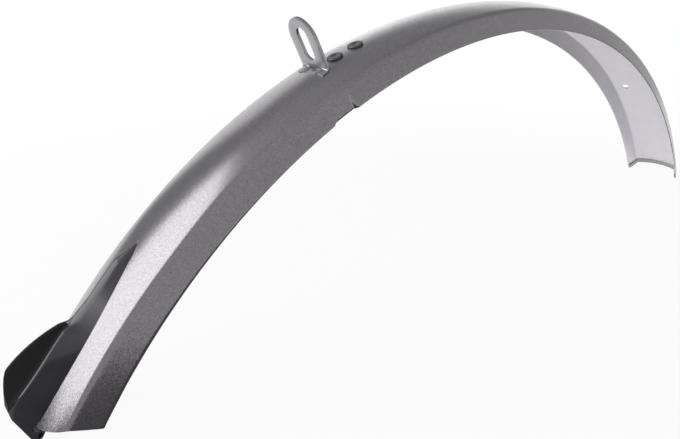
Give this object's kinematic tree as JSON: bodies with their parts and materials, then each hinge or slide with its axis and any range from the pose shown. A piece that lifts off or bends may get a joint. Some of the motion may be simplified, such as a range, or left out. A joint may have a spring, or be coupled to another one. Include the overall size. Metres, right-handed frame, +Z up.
{
  "type": "bicycle mudguard",
  "caption": "Silver channel-section bicycle mudguard, arched over the wheel, with a slotted fork bracket riveted to its crown and a dark moulded mud flap clipped over its rounded end",
  "frame": {"origin": "middle of the bounding box, on the floor the guard stands on", "axes": "+X towards the plain hemmed end, +Y across the wheel towards the side with the stay hole, +Z up; the guard stands as an arch on its two ends"},
  "size_m": [0.5964, 0.053, 0.1659],
  "materials": {
    "blade_paint": "silver metallic paint, satin gloss",
    "bracket_steel": "bright rolled sheet",
    "rivet_steel": "dull",
    "flap_plastic": "smooth moulded, satin gloss"
  },
  "bodies": {
    "root": {"mudguard_blade": "blade_paint", "fork_bracket": "bracket_steel", "bracket_rivets": "rivet_steel", "mud_flap": "flap_plastic"}
  },
  "joints": []
}
